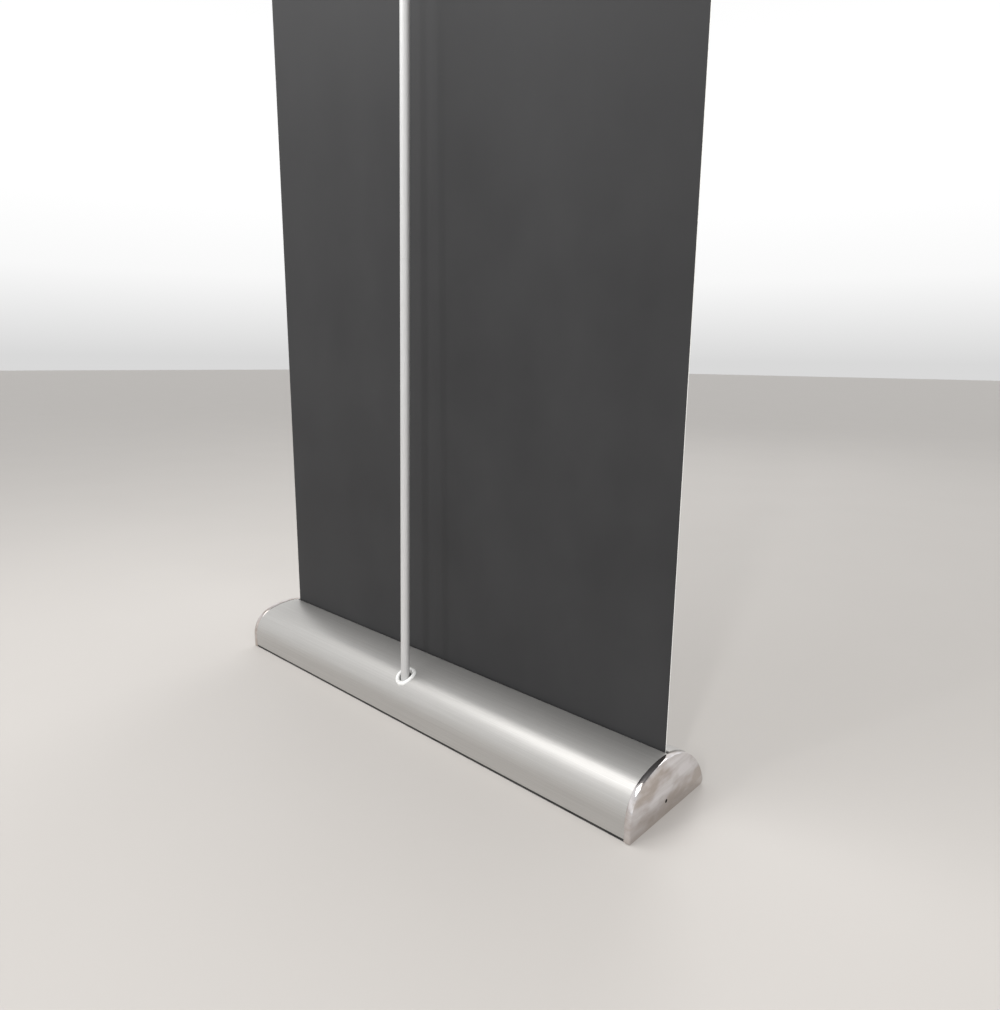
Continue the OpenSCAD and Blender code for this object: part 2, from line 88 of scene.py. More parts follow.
HALF_BASE = CAP_HIGH.x
HALF_SHELL = SHELL_HIGH.x
BACK_Y = CAP_HIGH.y
NOSE_Y = CAP_LOW.y
CROWN_Z = CAP_HIGH.z
TOE_GAP = 1.2 * MM
SHELL_Z = SHELL_LOW.z + TOE_GAP
SLOT_Y = (BANNER_LOW.y + BANNER_HIGH.y) / 2
LIP_BACK_Y = SHELL_LOW.y
LIP_FRONT_Y = COVER_HIGH.y
CAP_STEP = BACK_Y - SHELL_HIGH.y

# The housing's walls, the width of its two toes, and how far its lips turn down into the slot
WALL = 1.8 * MM
REAR_TOE = 7 * MM
FRONT_TOE = 6 * MM
LIP = 9 * MM

# Side outline of the base: a shoulder arc behind, and an arc on each side of the crown
SHOULDER_R = 49 * MM
SHOULDER_Z = 24.5 * MM
SHOULDER_Y = BACK_Y - SHOULDER_R
CROWN_Y = 10.4 * MM
NOSE_Z = 7 * MM
NOSE_R = 6 * MM
HEEL_R = 2 * MM


def crown_radius():
    """Radius of the rear crown arc, tangent to the shoulder and level at the crown."""
    drop = CROWN_Z - SHOULDER_Z
    run = SHOULDER_Y - CROWN_Y
    return (drop**2 + run**2 - SHOULDER_R**2) / (2 * (drop - SHOULDER_R))


def front_radius():
    """Radius of the front arc, from the crown to the nose."""
    run = CROWN_Y - NOSE_Y
    rise = CROWN_Z - NOSE_Z
    return (run**2 + rise**2) / (2 * rise)


CROWN_R = crown_radius()
FRONT_R = front_radius()
CROWN_CENTRE_Z = CROWN_Z - CROWN_R
FRONT_CENTRE_Z = CROWN_Z - FRONT_R
SHOULDER_TURN = math.atan2(SHOULDER_Z - CROWN_CENTRE_Z, SHOULDER_Y - CROWN_Y)

# The pole stands on the middle of its foot and leans towards the rail
LIFT = next(j for j in frame["joints"] if j["name"] == "pole_lift")
POLE_AXIS = Vector(LIFT["axis"]).normalized()
POLE_TILT = math.asin(-POLE_AXIS.y)
POLE_R = (FOOT_HIGH.x - FOOT_LOW.x) / 2
FOOT = Vector((0, FOOT_LOW.y + POLE_R * math.cos(POLE_TILT), FOOT_LOW.z + POLE_R * math.sin(POLE_TILT)))


def pole_meets_shoulder():
    """How far up its axis the pole passes through the surface of the shoulder."""
    reach = SHOULDER_R - CAP_STEP
    away_y, away_z = FOOT.y - SHOULDER_Y, FOOT.z - SHOULDER_Z
    along = away_y * POLE_AXIS.y + away_z * POLE_AXIS.z
    return -along + math.sqrt(along**2 - away_y**2 - away_z**2 + reach**2)


GROMMET_MIDDLE = pole_meets_shoulder()

# The ring sits a little up the slope and to one side of the pole, and is longer along the slope
BEAD_SHIFT = 3.4 * MM
NECK_ASIDE = Vector((2.4 * MM, 0, 0))
NECK_R = POLE_R + 4.4 * MM
RING_STRETCH = (0.95, 1.12, 1.0)
RING_BEAD_R = 3.4 * MM
NECK_WALL = 1.2 * MM
NECK_DEPTH = 14 * MM
NECK_LENGTH = 12 * MM


# ---- Small tools for modelling ----

def let_go():
    """Leaves nothing selected and no object in edit mode."""
    if bpy.context.object and bpy.context.object.mode != "OBJECT":
        bpy.ops.object.mode_set(mode="OBJECT")
    bpy.ops.object.select_all(action="DESELECT")


def take(piece):
    """Makes a piece the only selected and the active one."""
    let_go()
    piece.select_set(True)
    bpy.context.view_layer.objects.active = piece


def named(name):
    """Names the active object and its mesh, and returns it."""
    piece = bpy.context.object
    piece.name = name
    piece.data.name = name
    return piece


def start_point(name, at):
    """A mesh of one vertex, from which an outline is traced. It is left in edit mode."""
    let_go()
    bpy.ops.mesh.primitive_plane_add(size=MM, location=at)
    piece = named(name)
    bpy.ops.object.transform_apply(location=True, rotation=True, scale=True)
    bpy.ops.object.mode_set(mode="EDIT")
    bpy.ops.mesh.select_mode(type="VERT")
    bpy.ops.mesh.select_all(action="SELECT")
    bpy.ops.mesh.merge(type="CENTER")
    return piece


def line(dy, dz):
    """Carries the outline on in a straight line."""
    bpy.ops.mesh.extrude_region_move(TRANSFORM_OT_translate={"value": (0, dy, dz)})


def line_to(y, z):
    """Carries the outline on to a point."""
    at = tip()
    line(y - at.y, z - at.z)


def arc(centre_y, centre_z, angle, steps):
    """Carries the outline on round a centre. A positive angle turns from +Y towards +Z."""
    x = tip().x
    bpy.ops.mesh.spin(steps=steps, angle=-angle, center=(x, centre_y, centre_z), axis=(1, 0, 0))


def tip():
    """The end of the outline that is being traced."""
    mesh = bmesh.from_edit_mesh(bpy.context.object.data)
    return next(v.co.copy() for v in mesh.verts if v.select)


def close_outline():
    """Joins the outline's ends and fills it."""
    bpy.ops.mesh.select_all(action="SELECT")
    bpy.ops.mesh.remove_doubles(threshold=0.02 * MM)
    bpy.ops.mesh.edge_face_add()


def draw_out(length):
    """Extrudes the outline along X."""
    bpy.ops.mesh.select_all(action="SELECT")
    bpy.ops.mesh.extrude_region_move(TRANSFORM_OT_translate={"value": (length, 0, 0)})


def pick_faces(piece, test):
    """Selects the faces whose centre and normal pass a test, in edit mode."""
    bpy.ops.mesh.select_mode(type="FACE")
    bpy.ops.mesh.select_all(action="DESELECT")
    mesh = bmesh.from_edit_mesh(piece.data)
    for face in mesh.faces:
        face.select_set(bool(test(face.calc_center_median(), face.normal)))
    mesh.select_flush_mode()
    bmesh.update_edit_mesh(piece.data)


def outwards():
    """Turns every face of the piece in edit mode outwards and leaves edit mode."""
    bpy.ops.mesh.select_all(action="SELECT")
    bpy.ops.mesh.remove_doubles(threshold=0.005 * MM)
    bpy.ops.mesh.normals_make_consistent(inside=False)
    bpy.ops.object.mode_set(mode="OBJECT")


def apply_all(piece):
    """Applies the piece's modifiers, from the top."""
    take(piece)
    for modifier in list(piece.modifiers):
        bpy.ops.object.modifier_apply(modifier=modifier.name)


def soften(piece, width, segments=2, angle=40):
    """Rounds the sharp edges a little, as a finished edge is."""
    bevel = piece.modifiers.new("edges", "BEVEL")
    bevel.width = width
    bevel.segments = segments
    bevel.limit_method = "ANGLE"
    bevel.angle_limit = math.radians(angle)
    bevel.harden_normals = False
    bevel.use_clamp_overlap = True


def thicken(piece, wall, offset):
    """Gives a sheet its wall. An offset of -1 grows it behind its faces."""
    solid = piece.modifiers.new("wall", "SOLIDIFY")
    solid.thickness = wall
    solid.offset = offset
    solid.use_even_offset = True


def cut(piece, cutter):
    """Takes a cutter's shape out of a piece."""
    hole = piece.modifiers.new("hole", "BOOLEAN")
    hole.operation = "DIFFERENCE"
    hole.solver = "EXACT"
    hole.object = cutter
    apply_all(piece)
    bpy.data.objects.remove(cutter)


def smooth(piece, angle=20):
    """Shades a piece smooth, with its sharp edges kept."""
    take(piece)
    bpy.ops.object.shade_smooth_by_angle(angle=math.radians(angle))
    let_go()


def round_bar(name, start, axis, length, radius, sides=48):
    """A round bar from a start point along an axis."""
    let_go()
    axis = Vector(axis).normalized()
    middle = Vector(start) + axis * (length / 2)
    bpy.ops.mesh.primitive_cylinder_add(vertices=sides, radius=radius, depth=length)
    piece = named(name)
    piece.matrix_world = Matrix.Translation(middle) @ axis.to_track_quat("Z", "Y").to_matrix().to_4x4()
    bpy.ops.object.transform_apply(location=True, rotation=True, scale=True)
    return piece


def open_tube(name, start, axis, length, radius, wall, sides=64):
    """A tube with a wall that grows inwards from its outer radius."""
    piece = round_bar(name, start, axis, length, radius, sides)
    axis = Vector(axis).normalized()
    bpy.ops.object.mode_set(mode="EDIT")
    pick_faces(piece, lambda at, normal: abs(normal.dot(axis)) > 0.9)
    bpy.ops.mesh.delete(type="ONLY_FACE")
    bpy.ops.mesh.select_all(action="SELECT")
    bpy.ops.mesh.normals_make_consistent(inside=False)
    bpy.ops.object.mode_set(mode="OBJECT")
    face = piece.data.polygons[0]
    away = face.center - (Vector(start) + axis * (face.center - Vector(start)).dot(axis))
    if face.normal.dot(away) < 0:
        piece.data.flip_normals()
    thicken(piece, wall, -1)
    return piece


def block(name, low, high):
    """A box between two corners, ready to be shaped."""
    let_go()
    low, high = Vector(low), Vector(high)
    bpy.ops.mesh.primitive_cube_add(size=1, location=(low + high) / 2)
    piece = named(name)
    piece.scale = high - low
    bpy.ops.object.transform_apply(location=True, rotation=True, scale=True)
    return piece


def finish_piece(piece, material, body, slot, *nodes):
    """Gives a piece its finish and its body, and hides the frame nodes that it stands for."""
    piece.data.materials.clear()
    piece.data.materials.append(material)
    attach(piece, body)
    if nodes:
        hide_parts(*nodes)
    return piece


def body_of(node):
    bodies = frame["record"]["behaviour"]["bodies"]
    return next(body for body, nodes in bodies.items() if node in nodes)


def slot_of(node):
    return next(s["material_slot"] for s in frame["record"]["subparts"] if s["node"] == node)


# ---- Materials ----

class Finish:
    """A node material that is put together step by step."""

    def __init__(self, name, colour, roughness, metallic=0.0, **shader):
        self.material = bpy.data.materials.new(name)
        self.material.use_nodes = True
        self.material.diffuse_color = (*colour, 1)
        self.tree = self.material.node_tree
        self.shader = self.tree.nodes["Principled BSDF"]
        self.shader.inputs["Base Color"].default_value = (*colour, 1)
        self.shader.inputs["Roughness"].default_value = roughness
        self.shader.inputs["Metallic"].default_value = metallic
        for socket, value in shader.items():
            self.shader.inputs[socket.replace("_", " ")].default_value = value
        self.place = self.tree.nodes.new("ShaderNodeTexCoord").outputs["Object"]

    def add(self, kind, **settings):
        node = self.tree.nodes.new(kind)
        for key, value in settings.items():
            setattr(node, key, value)
        return node

    def join(self, output, target):
        self.tree.links.new(output, target)

    def stretched(self, scale):
        """The place, stretched by a scale on each axis."""
        node = self.add("ShaderNodeMapping")
        self.join(self.place, node.inputs["Vector"])
        node.inputs["Scale"].default_value = scale
        return node.outputs["Vector"]

    def noise(self, scale, size=1.0, detail=4.0, roughness=0.5):
        """A noise pattern. scale stretches it and size sets its fineness per metre."""
        node = self.add("ShaderNodeTexNoise")
        self.join(self.stretched(scale), node.inputs["Vector"])
        node.inputs["Scale"].default_value = size
        node.inputs["Detail"].default_value = detail
        node.inputs["Roughness"].default_value = roughness
        return node.outputs["Fac"]

    def span(self, value, low, high, from_low=0.3, from_high=0.7):
        """Maps a pattern onto a span of numbers."""
        node = self.add("ShaderNodeMapRange")
        self.join(value, node.inputs["Value"])
        node.inputs["From Min"].default_value = from_low
        node.inputs["From Max"].default_value = from_high
        node.inputs["To Min"].default_value = low
        node.inputs["To Max"].default_value = high
        return node.outputs["Result"]

    def mix(self, factor, first, second, how="MIX"):
        """Mixes two colours by a pattern. Each is a colour or another node's output."""
        node = self.add("ShaderNodeMix", data_type="RGBA", blend_type=how)
        self.join(factor, node.inputs["Factor"])
        for socket, value in (("A", first), ("B", second)):
            target = next(i for i in node.inputs if i.name == socket and i.type == "RGBA")
            if isinstance(value, tuple):
                target.default_value = (*value, 1)
            else:
                self.join(value, target)
        return next(o for o in node.outputs if o.type == "RGBA")

    def colour(self, output):
        self.join(output, self.shader.inputs["Base Color"])

    def roughness(self, output):
        self.join(output, self.shader.inputs["Roughness"])

    def bump(self, height, strength, depth):
        """Adds relief of a given depth in metres."""
        node = self.add("ShaderNodeBump")
        node.inputs["Strength"].default_value = strength
        node.inputs["Distance"].default_value = depth
        self.join(height, node.inputs["Height"])
        before = self.shader.inputs["Normal"]
        if before.is_linked:
            self.join(before.links[0].from_socket, node.inputs["Normal"])
        self.join(node.outputs["Normal"], before)


def drawn_aluminium(name, light, dark, rough, metallic=1.0):
    """Satin anodised aluminium with die lines along X, faint clouding and handling marks."""
    finish = Finish(name, light, rough, metallic)
    lines = finish.noise((6, 2600, 2600), 1, 3, 0.6)
    bands = finish.noise((0.8, 160, 160), 1, 2)
    clouds = finish.noise((9, 14, 14), 1, 5)
    tone = finish.mix(finish.span(lines, 0, 1), light, dark)
    tone = finish.mix(finish.span(bands, 0, 0.35), tone, dark)
    finish.colour(finish.mix(finish.span(clouds, 0, 0.16), tone, dark))
    finish.roughness(finish.span(lines, rough - 0.05, rough + 0.07))
    finish.bump(lines, 0.10, 0.03 * MM)
    return finish.material


def pole_aluminium():
    """Satin silver tube, its grain along the pole, with faint rub marks."""
    light, dark = (0.62, 0.62, 0.62), (0.53, 0.525, 0.52)
    finish = Finish("pole_silver", light, 0.46, 0.4)
    lines = finish.noise((2200, 2200, 5), 1, 3, 0.6)
    rubs = finish.noise((60, 60, 6), 1, 5)
    tone = finish.mix(finish.span(lines, 0, 0.7), light, dark)
    finish.colour(finish.mix(finish.span(rubs, 0, 0.3), tone, dark))
    finish.roughness(finish.span(rubs, 0.42, 0.54))
    finish.bump(lines, 0.08, 0.02 * MM)
    return finish.material


def plated_cap():
    """Bright plating: pale, with painted reflections of the floor: warm patches, brown streaks and a warmer
    tint low down.
    """
    # The second and third colours are painted reflections of a warm brown floor, not the plating's own
    # colour.
    light, warm_floor_reflection, brown_floor_reflection = (0.86, 0.845, 0.87), (0.55, 0.50, 0.465), (0.38, 0.33, 0.30)
    finish = Finish("cap_plating", light, 0.10, 1.0)
    swirl = finish.noise((30, 16, 34), 1, 3, 0.55)
    streaks = finish.noise((30, 9, 110), 1, 3, 0.5)
    fine = finish.noise((900, 60, 900), 1, 4, 0.6)
    height = finish.add("ShaderNodeSeparateXYZ")
    finish.join(finish.place, height.inputs["Vector"])
    # Painted reflection: warm patches where the floor is reflected.
    tone = finish.mix(finish.span(swirl, 0, 1, 0.40, 0.60), light, warm_floor_reflection)
    # Painted reflection: brown streaks of the floor reflected in the plating.
    tone = finish.mix(finish.span(streaks, 0, 0.4, 0.42, 0.72), tone, brown_floor_reflection)
    # Painted reflection: tinted warmer towards the bottom, where the floor is reflected.
    low = finish.span(height.outputs["Z"], 0.8, 0, 0, 34 * MM)
    finish.colour(finish.mix(low, tone, warm_floor_reflection))
    finish.roughness(finish.span(swirl, 0.06, 0.15))
    finish.bump(swirl, 0.2, 0.5 * MM)
    finish.bump(fine, 0.04, 0.01 * MM)
    return finish.material


def banner_back():
    """Charcoal block-out layer: matt, with a fine coated grain, faint mottling and streaks."""
    base, light, dark = (0.031, 0.031, 0.032), (0.038, 0.038, 0.039), (0.025, 0.025, 0.026)
    finish = Finish("banner_back", base, 0.62, 0.0, Specular_IOR_Level=0.22)
    grain = finish.noise((2400, 2400, 2400), 1, 2)
    mottle = finish.noise((7, 7, 5), 1, 6, 0.55)
    streaks = finish.noise((30, 30, 0.8), 1, 3)
    tone = finish.mix(finish.span(mottle, 0, 1), dark, light)
    tone = finish.mix(finish.span(streaks, 0, 0.3), tone, base)
    finish.colour(finish.mix(finish.span(grain, 0, 0.18), tone, light))
    finish.roughness(finish.span(mottle, 0.55, 0.70))
    finish.bump(grain, 0.12, 0.04 * MM)
    return finish.material


def banner_front():
    """White printable layer with a soft satin coat and a fine tooth."""
    white, cream = (0.86, 0.855, 0.83), (0.80, 0.79, 0.755)
    finish = Finish("banner_front", white, 0.42, 0.0, Sheen_Weight=0.05)
    grain = finish.noise((1800, 1800, 1800), 1, 2)
    clouds = finish.noise((4, 4, 3), 1, 5)
    finish.colour(finish.mix(finish.span(clouds, 0, 0.6), white, cream))
    finish.roughness(finish.span(clouds, 0.38, 0.50))
    finish.bump(grain, 0.06, 0.03 * MM)
    return finish.material


def moulded_plastic(name, colour, rough, mottled):
    """Moulded plastic with a fine spark texture, slight flow marks and handling shine."""
    finish = Finish(name, colour, rough)
    spark = finish.noise((1500, 1500, 1500), 1, 2)
    flow = finish.noise((30, 45, 25), 1, 5)
    finish.colour(finish.mix(finish.span(flow, 0, 1), colour, mottled))
    finish.roughness(finish.span(flow, rough - 0.08, rough + 0.08))
    finish.bump(spark, 0.12, 0.04 * MM)
    return finish.material


def foot_rubber():
    """Black rubber, dusty in places, with a fine open grain."""
    black, dust = (0.018, 0.018, 0.018), (0.06, 0.058, 0.055)
    finish = Finish("foot_rubber", black, 0.75)
    grain = finish.noise((900, 900, 900), 1, 3)
    patches = finish.noise((18, 60, 60), 1, 5)
    finish.colour(finish.mix(finish.span(patches, 0, 0.6), black, dust))
    finish.roughness(finish.span(grain, 0.66, 0.88))
    finish.bump(grain, 0.25, 0.08 * MM)
    return finish.material


def felt():
    """Black felt with a loose pile."""
    dark, pale = (0.022, 0.022, 0.023), (0.05, 0.05, 0.052)
    finish = Finish("felt", dark, 0.95, 0.0, Sheen_Weight=0.4)
    pile = finish.noise((1400, 1400, 1400), 1, 4, 0.7)
    finish.colour(finish.mix(finish.span(pile, 0, 1), dark, pale))
    finish.bump(pile, 0.5, 0.25 * MM)
    return finish.material


def turned_metal(name, light, dark, rough, grain):
    """Plain machined metal with a cutting grain and darker patches."""
    finish = Finish(name, light, rough, 1.0)
    lines = finish.noise(grain, 1, 3, 0.6)
    patches = finish.noise((60, 60, 60), 1, 5)
    tone = finish.mix(finish.span(lines, 0, 1), light, dark)
    finish.colour(finish.mix(finish.span(patches, 0, 0.4), tone, dark))
    finish.roughness(finish.span(patches, rough - 0.06, rough + 0.10))
    finish.bump(lines, 0.15, 0.03 * MM)
    return finish.material


def adhesive_tape():
    """Milky adhesive film with small trapped bubbles."""
    milky, clear = (0.80, 0.78, 0.70), (0.66, 0.63, 0.55)
    finish = Finish("adhesive_film", milky, 0.35)
    bubbles = finish.noise((300, 300, 300), 1, 3)
    finish.colour(finish.mix(finish.span(bubbles, 0, 1), milky, clear))
    finish.bump(bubbles, 0.2, 0.05 * MM)
    return finish.material


FINISHES = {
    "anodised_aluminium": drawn_aluminium(
        "anodised_housing", (0.56, 0.55, 0.535), (0.46, 0.45, 0.435), 0.46, 0.82),
    "mill_aluminium": drawn_aluminium("mill_aluminium", (0.70, 0.70, 0.71), (0.52, 0.52, 0.54), 0.30),
    "foot_rubber": foot_rubber(),
    "felt": felt(),
    "plated_cap": plated_cap(),
    "plate_steel": turned_metal("zinc_plate", (0.62, 0.63, 0.64), (0.45, 0.46, 0.48), 0.35, (300, 300, 300)),
    "screw_steel": turned_metal("black_screw", (0.16, 0.16, 0.17), (0.09, 0.09, 0.10), 0.38, (700, 700, 700)),
    "axle_steel": turned_metal("turned_steel", (0.66, 0.66, 0.67), (0.48, 0.48, 0.50), 0.26, (2400, 60, 60)),
    "black_plastic": moulded_plastic(
        "black_plastic", (0.022, 0.022, 0.024), 0.48, (0.034, 0.034, 0.036)),
    "spring_steel": turned_metal(
        "spring_wire", (0.34, 0.34, 0.35), (0.20, 0.20, 0.20), 0.32, (900, 900, 900)),
    "white_plastic": moulded_plastic("white_plastic", (0.80, 0.80, 0.79), 0.30, (0.74, 0.74, 0.72)),
    "bush_bronze": turned_metal(
        "sintered_bronze", (0.62, 0.44, 0.20), (0.42, 0.28, 0.12), 0.42, (900, 900, 900)),
    "leader_tape": adhesive_tape(),
    "pole_aluminium": pole_aluminium(),
    "banner_sheet": banner_back(),
}


# ---- Base ----

def back_outline():
    """Traces the rear of the base from the shoulder's foot over to the crown."""
    arc(SHOULDER_Y, SHOULDER_Z, SHOULDER_TURN, 22)
    arc(CROWN_Y, CROWN_CENTRE_Z, math.pi / 2 - SHOULDER_TURN, 10)


def shell_from_outline(piece):
    """Turns the traced outline into a wall as long as the housing."""
    draw_out(2 * HALF_SHELL)
    bpy.ops.mesh.select_all(action="SELECT")
    bpy.ops.mesh.normals_make_consistent(inside=False)
    bpy.ops.object.mode_set(mode="OBJECT")
    face_out(piece)
    thicken(piece, WALL, -1)


def face_out(piece):
    """Turns a shell's faces by its largest one, which is to face away from below the crown.

    The front's largest face is its lip. It lies on the near side of the crown and faces the slot,
    so the front is turned inwards and its wall grows outwards.
    """
    face = max(piece.data.polygons, key=lambda f: f.area)
    away = Vector((0, face.center.y - CROWN_Y, face.center.z))
    if face.normal.dot(away) < 0:
        piece.data.flip_normals()


def part_across(piece, *places):
    """Cuts the faces across at places along X, so a hole between them leaves the rest untouched."""
    take(piece)
    bpy.ops.object.mode_set(mode="EDIT")
    for x in places:
        bpy.ops.mesh.select_all(action="SELECT")
        bpy.ops.mesh.bisect(plane_co=(x, 0, 0), plane_no=(1, 0, 0))
    bpy.ops.object.mode_set(mode="OBJECT")


def housing_rear():
    """The rear half of the housing: back wall, shoulder and crown, with lips at both ends."""
    piece = start_point("housing_rear", Vector((-HALF_SHELL, SHELL_HIGH.y - REAR_TOE, SHELL_Z)))
    line(REAR_TOE, 0)
    line_to(SHELL_HIGH.y, SHOULDER_Z)
    back_outline()
    sweep = math.asin((CROWN_Y - LIP_BACK_Y) / (FRONT_R - CAP_STEP))
    arc(CROWN_Y, FRONT_CENTRE_Z, sweep, 6)
    line(0, -LIP)
    shell_from_outline(piece)
    part_across(piece, -3 * POLE_R, 3 * POLE_R)
    apply_all(piece)
    cut(piece, round_bar("hole", FOOT + NECK_ASIDE, POLE_AXIS, 0.1, NECK_R, 64))
    soften(piece, 0.5 * MM)
    apply_all(piece)
    smooth(piece)
    finish_piece(piece, FINISHES["anodised_aluminium"], "base", "anodised_aluminium", "rear_shell")


def housing_front():
    """The front half of the housing, from the nose over to the slot."""
    nose_y = COVER_LOW.y
    piece = start_point("housing_front", Vector((-HALF_SHELL, nose_y + FRONT_TOE, SHELL_Z)))
    line(-FRONT_TOE, 0)
    reach = FRONT_R - CAP_STEP
    wall_top = SHELL_Z + 4 * MM
    low = math.asin((wall_top - FRONT_CENTRE_Z) / reach)
    meet = max(nose_y, CROWN_Y - reach * math.cos(low))
    angle = math.acos((CROWN_Y - meet) / reach)
    line_to(meet, FRONT_CENTRE_Z + reach * math.sin(angle))
    end = math.acos((CROWN_Y - LIP_FRONT_Y) / reach)
    arc(CROWN_Y, FRONT_CENTRE_Z, angle - end, 30)
    line(0, -LIP)
    shell_from_outline(piece)
    soften(piece, 0.35 * MM)
    apply_all(piece)
    smooth(piece)
    finish_piece(piece, FINISHES["anodised_aluminium"], "base", "anodised_aluminium", "front_cover")


def cap_outline(name, x):
    """The filled side outline of an end cap at a place along X, left in edit mode."""
    piece = start_point(name, Vector((x, BACK_Y - HEEL_R, 0)))
    arc(BACK_Y - HEEL_R, HEEL_R, math.pi / 2, 4)
    line_to(BACK_Y, SHOULDER_Z)
    back_outline()
    angle = math.asin((NOSE_Z - FRONT_CENTRE_Z) / FRONT_R)
    arc(CROWN_Y, FRONT_CENTRE_Z, math.pi / 2 - angle, 30)
    line_to(NOSE_Y, NOSE_R)
    arc(NOSE_Y + NOSE_R, NOSE_R, math.pi / 2, 6)
    close_outline()
    return piece


# Each step of the rim and of the face: how far out it lies and how large the outline is there
CAP_RIM = ((0.6, 0.9907), (1.6, 0.9942), (2.8, 0.9974), (4.0, 0.9992),
           (5.2, 1.0), (6.6, 0.9993), (7.9, 0.9970), (8.8, 0.9934))
CAP_FACE = (0.985, 0.95, 0.90, 0.83, 0.74, 0.63, 0.50, 0.36, 0.20, 0.08)

# The hollow in the back of a cap: how deep it is, and its size as a share of the outline
HOLLOW_DEPTH = 5 * MM
HOLLOW_SIZE = 0.95


def step_out(reach, size, centre):
    """Carries the selected face outwards and resizes it about a centre."""
    bpy.ops.mesh.extrude_region_move(TRANSFORM_OT_translate={"value": (reach, 0, 0)})
    bpy.ops.transform.resize(value=(1, size, size), center_override=centre)


def end_cap(name, side):
    """A plated cap: a barrel-shaped rim, a crowned outer face and a hollow in its back."""
    start = 1 - CAP_STEP / BACK_Y
    piece = cap_outline(name, side * HALF_SHELL)
    on_floor = (side * HALF_SHELL, 0, 0)
    bpy.ops.transform.resize(value=(1, start, start), center_override=on_floor)
    out, size = 0, start
    for reach, share in CAP_RIM:
        step_out(side * (reach * MM - out), share / size, on_floor)
        out, size = reach * MM, share
    middle = (side * HALF_SHELL, 0, CROWN_Z * 0.4)
    crown = HALF_BASE - HALF_SHELL - out
    rim, size = out, 1
    for share in CAP_FACE:
        height = rim + crown * (1 - share**2)
        step_out(side * (height - out), share / size, middle)
        out, size = height, share
    pick_faces(piece, lambda at, normal: abs(at.x - side * HALF_SHELL) < 0.01 * MM)
    step_out(0, HOLLOW_SIZE, middle)
    bpy.ops.mesh.extrude_region_move(TRANSFORM_OT_translate={"value": (side * HOLLOW_DEPTH, 0, 0)})
    outwards()
    return piece


# How much wider than the bore the look's pin hole is, in millimetres on the radius, and the
# cutter that makes it: how far outside the cap it starts, and its length
PIN_CLEARANCE = 0.5
CUTTER_OUTSIDE = 4 * MM
CUTTER_LENGTH = 30 * MM


def lock_hole(piece):
    """The hole for the locking pin, cut inwards from outside the left cap."""
    mount = next(m for m in frame["record"]["mounts"] if m["name"] == "lock_pin_hole")
    at = Vector(mount["pos_m"])
    radius = (mount["dims"]["r_mm"] + PIN_CLEARANCE) * MM
    at.x = -HALF_BASE - CUTTER_OUTSIDE
    cut(piece, round_bar("hole", at, (1, 0, 0), CUTTER_LENGTH, radius, 32))


def end_caps():
    for name, side, node in (("end_cap_plating_left", -1, "end_cap_left"),
                             ("end_cap_plating_right", 1, "end_cap_right")):
        piece = end_cap(name, side)
        if side < 0:
            lock_hole(piece)
        soften(piece, 0.6 * MM, segments=1)
        apply_all(piece)
        smooth(piece)
        finish_piece(piece, FINISHES["plated_cap"], "base", "plated_cap", node)


# The grooves under a foot strip: where they lie, as shares of its width, and their size
GROOVES = (-0.3, 0.0, 0.3)
GROOVE_HALF = 1.0 * MM
GROOVE_DEPTH = 1.2 * MM


def foot_strip(node):
    """A rubber strip with three grooves along its underside."""
    low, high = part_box(node)
    piece = block(node + "_ribbed", low, high)
    bpy.ops.object.mode_set(mode="EDIT")
    middles = [(low.y + high.y) / 2 + share * (high.y - low.y) for share in GROOVES]
    for middle in middles:
        for edge in (-GROOVE_HALF, GROOVE_HALF):
            bpy.ops.mesh.select_all(action="SELECT")
            bpy.ops.mesh.bisect(plane_co=(0, middle + edge, 0), plane_no=(0, 1, 0))
    pick_faces(piece, lambda at, normal: normal.z < -0.5 and any(
        abs(at.y - middle) < GROOVE_HALF / 2 for middle in middles))
    bpy.ops.mesh.extrude_region_move(TRANSFORM_OT_translate={"value": (0, 0, GROOVE_DEPTH)})
    outwards()
    soften(piece, 0.3 * MM)
    apply_all(piece)
    smooth(piece)
    finish_piece(piece, FINISHES["foot_rubber"], "base", "foot_rubber", node)


def grommet():
    """The white ring round the pole: a rounded bead on the shoulder and a neck below it."""
    surface_r = SHOULDER_R - CAP_STEP
    lean = math.acos((along_pole(GROMMET_MIDDLE).y - SHOULDER_Y) / surface_r)
    lean += BEAD_SHIFT / surface_r
    seat = Vector((0, SHOULDER_Y + surface_r * math.cos(lean), SHOULDER_Z + surface_r * math.sin(lean)))
    seat += NECK_ASIDE
    normal = Vector((0, math.cos(lean), math.sin(lean)))
    ring_r = (GROMMET_HIGH.x - GROMMET_LOW.x) / 2 - RING_BEAD_R
    let_go()
    bpy.ops.mesh.primitive_torus_add(major_radius=ring_r, minor_radius=RING_BEAD_R,
                                     major_segments=72, minor_segments=20)
    piece = named("grommet_ring")
    piece.scale = RING_STRETCH
    bpy.ops.object.transform_apply(location=False, rotation=False, scale=True)
    piece.matrix_world = Matrix.Translation(seat) @ normal.to_track_quat("Z", "Y").to_matrix().to_4x4()
    bpy.ops.object.transform_apply(location=True, rotation=True, scale=True)
    bend_to_shoulder(piece, surface_r, lean)
    foot = along_pole(GROMMET_MIDDLE - NECK_DEPTH) + NECK_ASIDE
    neck = open_tube("neck", foot, POLE_AXIS, NECK_LENGTH, NECK_R, NECK_WALL)
    apply_all(neck)
    take(neck)
    piece.select_set(True)
    bpy.context.view_layer.objects.active = piece
    bpy.ops.object.join()
    smooth(piece, 60)
    finish_piece(piece, FINISHES["white_plastic"], "base", "white_plastic", "grommet")


